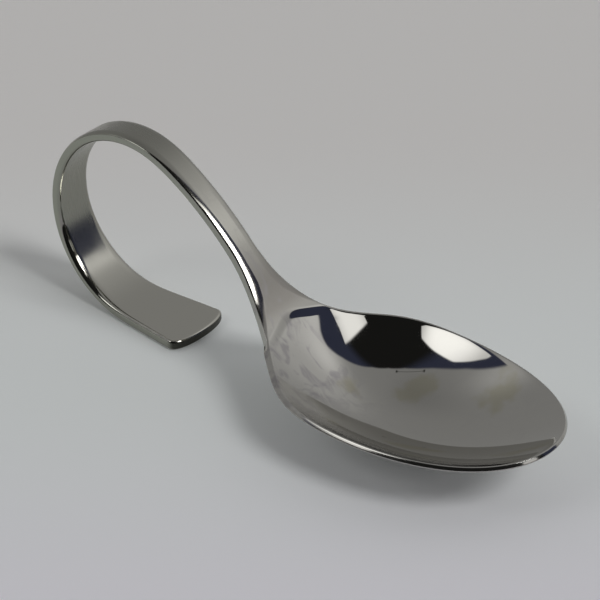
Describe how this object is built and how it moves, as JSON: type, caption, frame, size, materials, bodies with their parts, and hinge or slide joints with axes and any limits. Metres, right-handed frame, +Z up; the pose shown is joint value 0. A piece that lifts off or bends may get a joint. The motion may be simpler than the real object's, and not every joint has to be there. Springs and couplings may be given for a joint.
{
  "type": "tasting spoon",
  "caption": "One-piece polished steel tasting spoon: an oval bowl on a tapering handle that curls over into a finger loop and ends in a flat foot, so that it stands level when filled.",
  "frame": {"origin": "under the middle of the spoon, on the surface that its foot and its bowl stand on", "axes": "+X from the finger loop to the tip of the bowl, +Y across the spoon, +Z up out of the bowl"},
  "size_m": [0.125, 0.0426, 0.0436],
  "materials": {
    "polished_steel": "mirror polished in the bowl, softer polish on the handle, light scuffs"
  },
  "bodies": {
    "root": {"spoon": "polished_steel"}
  },
  "joints": []
}
